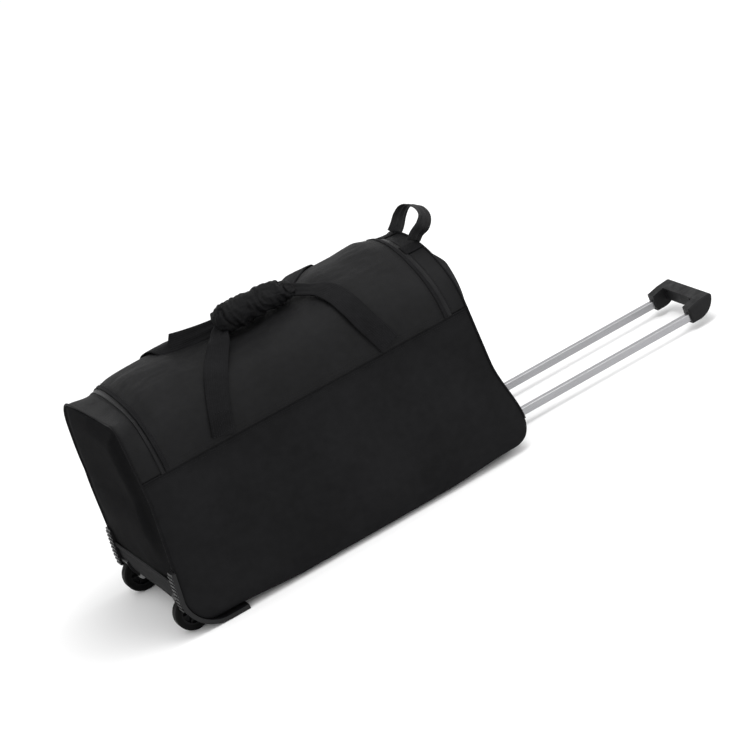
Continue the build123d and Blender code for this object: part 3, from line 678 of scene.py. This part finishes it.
# ---- top: end strips, lid, zips -----------------------------------------------------------
def strip_place(edge, inner_x, seed):
    def place(r, c):
        outer = top_point(wheel_end if edge is left_x else handle_edge_x, r)[0]
        x0 = edge(outer[2], outer[1])
        x = x0 + (inner_x - x0) * c
        rumple = 0.0022 * soft(x, r * 0.5, 0.3, 18.0, seed) * sin(pi * c) * sin(pi * r) ** 0.3
        p = top_point(x if c > 0 else outer[0], r, rumple)[0]
        return (x, p[1], p[2]) if c > 0 else (x0, outer[1], outer[2])
    return place


zip_w = 0.009
for name, edge, inner_x, seed in (("wheel_end_top_strip", left_x, lid_lo.x + 0.003, 1.0),
                                  ("handle_end_top_strip", right_x, lid_hi.x - 0.003, 6.0)):
    strip = grid(f"{name}_cloth", 120, 16, strip_place(edge, inner_x, seed))
    face_out(strip)
    dress(strip, top_cloth, "bag", [name])
    lined(strip)


def lid_puff(x, v):
    """How far the lid's cloth stands off the top's form."""
    t = (x - lid_lo.x) / (lid_hi.x - lid_lo.x)
    inside = sin(pi * min(max(v, 0), 1)) ** 0.6 * ease(t / 0.06) * ease((1 - t) / 0.08)
    y = (v - 0.5) * 0.5
    puff = 0.0040 * inside
    puff += 0.0050 * soft(x, y * 0.8, 0.2, 6.0, 4.4) * inside
    puff += 0.0022 * soft(x * 0.7, y * 1.6, 0.7, 17.0, 9.2) * inside
    puff += 0.0024 * (crease(x, y * 0.5, 0.4, 7.0, 2.7) - 0.7) * inside
    return puff + 0.0008 * soft(x, y * 2, 0.1, 40.0, 6.1) * inside


def lid_place(offset, x0, x1, v0=0.0, v1=1.0):
    def place(r, c):
        x = x0 + (x1 - x0) * c
        v = v0 + (v1 - v0) * r
        return tuple(top_point(x, v, offset + lid_puff(x, v))[0])
    return place


lid = grid("lid_cloth", 130, 190, lid_place(fabric, lid_lo.x, lid_hi.x))
face_out(lid)
dress(lid, top_cloth, "lid", ["lid_panel"])
lined(lid, fabric)

bound_w = 0.007
bindings = [("wheel_end", 130, 5, lid_lo.x, lid_lo.x + bound_w, 0.0, 1.0),
            ("handle_end", 130, 5, lid_hi.x - bound_w, lid_hi.x, 0.0, 1.0),
            ("far_edge", 6, 150, lid_lo.x, lid_hi.x, 0.980, 1.0)]
for k, (end, rows, columns, x0, x1, v0, v1) in enumerate(bindings):
    band = grid(f"lid_binding_{end}", rows, columns, lid_place(fabric + 0.0008, x0, x1, v0, v1))
    face_out(band)
    dress(band, binding_cloth, "lid", ["lid_binding"] if k == 0 else ())
    thicken(band, 0.0012, 0.0)

zips = [("wheel_end", lid_lo.x - zip_w, lid_lo.x + 0.001), ("handle_end", lid_hi.x - 0.001, lid_hi.x + zip_w)]
for k, (end, x0, x1) in enumerate(zips):
    tape = grid(f"zip_tape_{end}", 130, 4,
                lambda r, c, x0=x0, x1=x1: tuple(top_point(x0 + (x1 - x0) * c, r, 0.0014)[0]))
    face_out(tape)
    dress(tape, zip_tape, "bag", ["zip_coil"] if k == 0 else ())
    thicken(tape, 0.0010, 0.0)
far_zip = grid("zip_tape_far", 4, 120, lambda r, c: (
    lid_lo.x - zip_w + (lid_hi.x - lid_lo.x + 2 * zip_w) * c,
    half_width(seam_z - 0.007 * r) + 0.0014, seam_z - 0.007 * r))
face_out(far_zip)
dress(far_zip, zip_tape, "bag")
thicken(far_zip, 0.0010, 0.0)

# ---- side seams and stitching -------------------------------------------------------------
seam_x = np.linspace(left_x(seam_z) + 0.001, right_x(seam_z) - 0.001, 160)
for end, sign in (("near", -1), ("far", 1)):
    fold = tube(f"side_seam_fold_{end}",
                [(x, sign * (half_width(seam_z - 0.001) + 0.0006 + 0.0003 * soft(x, 0, 0, 60.0)),
                  seam_z - 0.001) for x in seam_x], 0.0012, 6)
    dress(fold, side_cloth, "bag")

lid_rows = [[top_point(x, v, fabric + lid_puff(x, v) + 0.0003)[0]
             for x in np.linspace(lid_lo.x + 0.002, lid_hi.x - 0.002, 150)] for v in (0.010, 0.026)]
for x in (lid_lo.x + 0.005, lid_lo.x + 0.010, lid_hi.x - 0.005, lid_hi.x - 0.010):
    lid_rows.append([top_point(x, v, fabric + lid_puff(x, v) + 0.0018)[0]
                     for v in np.linspace(0.02, 0.98, 150)])
lid_thread = stitches("lid_stitching", lid_rows)
dress(lid_thread, thread, "lid")

bag_rows = [[(x, -half_width(seam_z - drop) - 0.0008, seam_z - drop) for x in seam_x]
            for drop in (0.005, 0.010)]
bag_rows += [[top_point(x, v, 0.0004)[0] for v in np.linspace(0.02, 0.98, 150)]
             for x in (lid_lo.x - zip_w - 0.003, lid_hi.x + zip_w + 0.003)]
bag_thread = stitches("bag_stitching", bag_rows)
dress(bag_thread, thread, "bag")


# ---- carry handles ------------------------------------------------------------------------
def on_lid(from_end, v, lift):
    x = wheel_end + from_end
    return top_point(x, v, fabric + lid_puff(x, v) + lift)


def leg(name, route, tail, body, replaced=()):
    """A strap's leg: route lists (x from the wheel end, fraction, lift); tail adds free points."""
    points, normals, widths = [], [], []
    for from_end, v, lift in route:
        p, n = on_lid(from_end, v, lift)
        points.append(p)
        normals.append(n)
        widths.append(webbing_w)
    for p, n, w in tail:
        points.append(np.array(p))
        normals.append(np.array(n))
        widths.append(w)
    obj = ribbon(name, points, normals, widths, fold=0.0006)
    face_out(obj, Vector(((points[0][0] + points[-1][0]) / 2, 0, seam_z)))
    dress(obj, webbing, body, replaced)
    length = obj["cut_length"]
    min(obj["cut_area"], webbing_w * length)


wrap_y = (wrap_lo.y + wrap_hi.y) / 2
wrap_z = (wrap_lo.z + wrap_hi.z) / 2 + 0.004
wrap_half = (wrap_hi.x - wrap_lo.x) / 2
wrap_x = (wrap_lo.x + wrap_hi.x) / 2
ridge_z = arch_z + 0.020
leg("near_strap_wheel_side",
                [(0.172, 0.020, 0.0028), (0.180, 0.075, 0.0030), (0.190, 0.130, 0.0032),
                 (0.203, 0.190, 0.0045), (0.219, 0.250, 0.0060), (0.238, 0.310, 0.0070)],
                [((wheel_end + 0.258, -0.068, ridge_z - 0.001), (0, -0.35, 0.9), 0.040),
                 ((wheel_end + 0.272, -0.045, wrap_z - 0.010), (-0.3, -0.5, 0.8), 0.034),
                 ((wheel_end + 0.290, wrap_y - 0.004, wrap_z - 0.003), (-0.4, -0.6, 0.7), 0.030),
                 ((wheel_end + 0.312, wrap_y, wrap_z), (0, -0.6, 0.8), 0.028)],
                "near_handle", ["near_handle_webbing"])
leg("near_strap_handle_side",
                 [(0.524, 0.020, 0.0028), (0.513, 0.080, 0.0030), (0.503, 0.140, 0.0040),
                  (0.495, 0.210, 0.0055), (0.487, 0.290, 0.0065)],
                 [((wheel_end + 0.474, -0.072, ridge_z - 0.003), (0, -0.3, 0.95), 0.042),
                  ((wheel_end + 0.455, -0.050, wrap_z - 0.014), (0.2, -0.4, 0.85), 0.036),
                  ((wheel_end + 0.430, wrap_y - 0.003, wrap_z - 0.005), (0.2, -0.6, 0.7), 0.030),
                  ((wheel_end + 0.408, wrap_y, wrap_z), (0, -0.6, 0.8), 0.028)],
                 "near_handle")

box_rows = []
for from_end, slant in ((0.172, 0.010), (0.524, -0.010)):
    for x0, v0, x1, v1 in ((-1, 0.030, 1, 0.030), (-1, 0.105, 1, 0.105), (-1, 0.030, -1, 0.105),
                           (1, 0.030, 1, 0.105), (-1, 0.030, 1, 0.105), (1, 0.030, -1, 0.105)):
        line = []
        for t in np.linspace(0, 1, 20):
            v = v0 + (v1 - v0) * t
            run = 0.018 * (x0 + (x1 - x0) * t) + slant * (v - 0.03) / 0.06
            line.append(on_lid(from_end + run, v, 0.0044)[0])
        box_rows.append(line)
box_thread = stitches("handle_box_stitching", box_rows)
dress(box_thread, thread, "near_handle")


def sleeve_place(r, c):
    """The wrap: a slack sleeve round the handle, fuller at the wheel side, with rucks across it."""
    u = 2 * r - 1
    a = 2 * pi * c
    end_taper = (1 - abs(u) ** 5) ** 0.5 * 0.45 + 0.55
    radius_y = (0.0250 - 0.0022 * u) * end_taper
    radius_z = (0.0245 - 0.0040 * u) * end_taper
    slant = u * 5.2 + 0.9 * sin(a + 0.6)
    ruck = 0.0036 * (crease(slant, 0.6 * sin(a), 0.5 * cos(a), 1.2, 3.3) - 0.7)
    ruck += 0.0018 * soft(slant * 1.7, sin(a), cos(a), 1.3, 6.4)
    ruck += 0.0010 * soft(slant * 0.8, sin(a) * 3, cos(a) * 3, 1.6, 1.9)
    flap = 0.0016 * (1 if 0.52 < c < 0.90 else 0)
    x = wrap_x + u * (wrap_half - 0.001) * (1 + 0.02 * sin(a + 0.8))
    rise = 0.004 * (1 - u * u) - 0.003 * u
    return (x, wrap_y - (radius_y + ruck + flap) * sin(a), wrap_z + rise + (radius_z + ruck + flap) * cos(a))


sleeve = grid("grip_wrap_cloth", 90, 97, sleeve_place)
mesh = bmesh.new()
mesh.from_mesh(sleeve.data)
bmesh.ops.remove_doubles(mesh, verts=mesh.verts, dist=1e-6)
rims = [e for e in mesh.edges if e.is_boundary]
bmesh.ops.holes_fill(mesh, edges=rims)
mesh.to_mesh(sleeve.data)
mesh.free()
face_out(sleeve, Vector((wrap_x, wrap_y, wrap_z)))
dress(sleeve, wrap_cloth, "near_handle", ["grip_wrap"])


def inflate(obj, pressure, grow, cap, frames=20):
    """Swell and ruck a closed piece by cloth simulation, then keep the result."""
    start = [v.co.copy() for v in obj.data.vertices]
    cloth = obj.modifiers.new("cloth", "CLOTH")
    cloth.settings.quality = 6
    cloth.settings.mass = 0.3
    cloth.settings.use_pressure = True
    cloth.settings.uniform_pressure_force = pressure
    cloth.settings.shrink_min = -grow
    cloth.settings.tension_stiffness = 18
    cloth.settings.bending_stiffness = 0.4
    cloth.settings.effector_weights.gravity = 0
    cloth.point_cache.frame_start = 1
    cloth.point_cache.frame_end = frames
    for step in range(1, frames + 1):
        bpy.context.scene.frame_set(step)
    shown = obj.evaluated_get(bpy.context.evaluated_depsgraph_get())
    moved = [v.co.copy() for v in shown.data.vertices]
    obj.modifiers.remove(cloth)
    for vert, home, away in zip(obj.data.vertices, start, moved):
        step = away - home
        if step.length > cap:
            step *= cap / step.length
        vert.co = home + step
    bpy.context.scene.frame_set(1)


inflate(sleeve, 2.0, 0.06, 0.004)
round_off = sleeve.modifiers.new("round_off", "SUBSURF")
round_off.levels = round_off.render_levels = 1

leg("far_strap",
               [(0.172, 0.980, 0.0028), (0.172, 0.900, 0.0032), (0.172, 0.800, 0.0045),
                (0.176, 0.700, 0.0060), (0.184, 0.610, 0.0080)],
               [((wheel_end + 0.194, 0.018, arch_z + 0.028), (-0.2, -0.75, 0.55), webbing_w),
                ((wheel_end + 0.232, 0.010, arch_z + 0.025), (0, -0.9, 0.35), webbing_w * 0.85),
                ((wheel_end + 0.285, 0.006, arch_z + 0.023), (0, -0.8, 0.5), 0.030),
                ((wheel_end + 0.356, 0.006, arch_z + 0.022), (0, -0.8, 0.5), 0.028),
                ((wheel_end + 0.410, 0.016, arch_z + 0.017), (0, -0.5, 0.85), 0.034)]
               + [(*on_lid(x, v, lift), webbing_w) for x, v, lift in
                  ((0.456, 0.610, 0.0050), (0.492, 0.680, 0.0045), (0.514, 0.750, 0.004),
                   (0.524, 0.830, 0.004),
                   (0.526, 0.910, 0.003), (0.526, 0.980, 0.0028))],
               "far_handle", ["far_handle_webbing"])

# ---- grab loop ----------------------------------------------------------------------------
loop_root = Vector((anchor_hi.x + 0.004, 0, arch_z + 0.002))
lean = radians(35)
lean_up = np.array([sin(lean), 0, cos(lean)])
lean_face = np.array([cos(lean), 0, -sin(lean)])


def loop_at(y, up, out=0.0):
    return np.array(loop_root) + lean_up * up + lean_face * out + np.array([0, y, 0])


loop_points = [loop_at(0.044, 0.001, -0.004), loop_at(0.045, 0.016), loop_at(0.046, 0.037, 0.002),
               loop_at(0.036, 0.055, 0.004), loop_at(0.007, 0.060, 0.005), loop_at(-0.027, 0.060, 0.005),
               loop_at(-0.053, 0.050, 0.004), loop_at(-0.059, 0.033, 0.001),
               loop_at(-0.048, 0.015, -0.003), loop_at(-0.043, 0.001, -0.004)]
loop_normals = [(0, 1, 0.1), (0, 1, 0.1), (0.1, 0.95, 0.3), (0.3, 0.6, 0.7), (0.5, 0.1, 0.8),
                (0.4, -0.3, 0.8), (0.2, -0.9, 0.4), (0, -1, 0.1), (0, -1, -0.2), (0, -1, -0.3)]
loop_widths = [0.030, 0.030, 0.028, 0.025, 0.022, 0.022, 0.025, 0.028, 0.029, 0.030]
loop = ribbon("grab_loop_webbing", loop_points, loop_normals, loop_widths, 0.0022, 100)
face_out(loop, Vector(loop_at(0, 0.035)))
dress(loop, loop_webbing_painted_light, "grab_loop", ["grab_loop"])
min(loop["cut_area"], 0.030 * loop["cut_length"])
anchors = []
for sign in (-1, 1):
    def anchor_place(r, c, sign=sign):
        x = anchor_hi.x - 0.030 + 0.036 * c
        v = 0.5 + sign * (0.085 + 0.062 * r)
        return tuple(top_point(x, v, 0.0016 + 0.0012 * sin(pi * r))[0])
    patch = grid(f"anchor_{sign}", 14, 10, anchor_place)
    face_out(patch)
    anchors.append(patch)
anchor = join("grab_loop_anchor_webbing", anchors)
anchor.data.polygons.foreach_set("use_smooth", [True] * len(anchor.data.polygons))
dress(anchor, webbing, "bag", ["grab_loop_anchors"])
thicken(anchor, 0.0018, 0.0)

# ---- camera, light and floor --------------------------------------------------------------
camera_data = bpy.data.cameras.new("camera")
camera_data.lens = 150.5
camera_data.sensor_width = 36.0
camera_data.clip_end = 100.0
camera = bpy.data.objects.new("camera", camera_data)
bpy.context.scene.collection.objects.link(camera)
view_azimuth = radians(17.20)
view_drop = radians(20.53)
view_roll = radians(22.72)
view_distance = 5.846
target = Vector((wheel_end + 0.5263, 0.0, base_z + 0.1988))
look = Vector((sin(view_azimuth) * cos(view_drop), cos(view_azimuth) * cos(view_drop), -sin(view_drop)))
camera.location = target - look * view_distance
camera.rotation_mode = "QUATERNION"
camera.rotation_quaternion = (look.to_track_quat("-Z", "Y")
                              @ Matrix.Rotation(-view_roll, 4, "Z").to_quaternion())
bpy.context.scene.camera = camera

floor = mesh_object("floor", [(-30, -30, 0), (30, -30, 0), (30, 30, 0), (-30, 30, 0)], [(0, 1, 2, 3)])
floor_mat, _, floor_shader = new_material("floor", 0.9, 0.0)
floor_shader.inputs["Base Color"].default_value = (0.92, 0.92, 0.92, 1)
floor.data.materials.append(floor_mat)

world = bpy.data.worlds.new("studio")
bpy.context.scene.world = world
world.use_nodes = True
world.node_tree.nodes["Background"].inputs["Color"].default_value = (1, 1, 1, 1)
world.node_tree.nodes["Background"].inputs["Strength"].default_value = 1.09


def softbox(name, place, size, power):
    data = bpy.data.lights.new(name, "AREA")
    data.shape = "RECTANGLE"
    data.size, data.size_y = size
    data.energy = power
    lamp = bpy.data.objects.new(name, data)
    lamp.location = place
    lamp.rotation_mode = "QUATERNION"
    lamp.rotation_quaternion = (middle - Vector(place)).to_track_quat("-Z", "Y")
    bpy.context.scene.collection.objects.link(lamp)


softbox("overhead", (0.5, -0.6, 2.6), (1.8, 1.0), 34)
softbox("fill", (1.9, -2.2, 1.3), (1.4, 1.4), 16)
bpy.context.scene.view_settings.view_transform = "Standard"
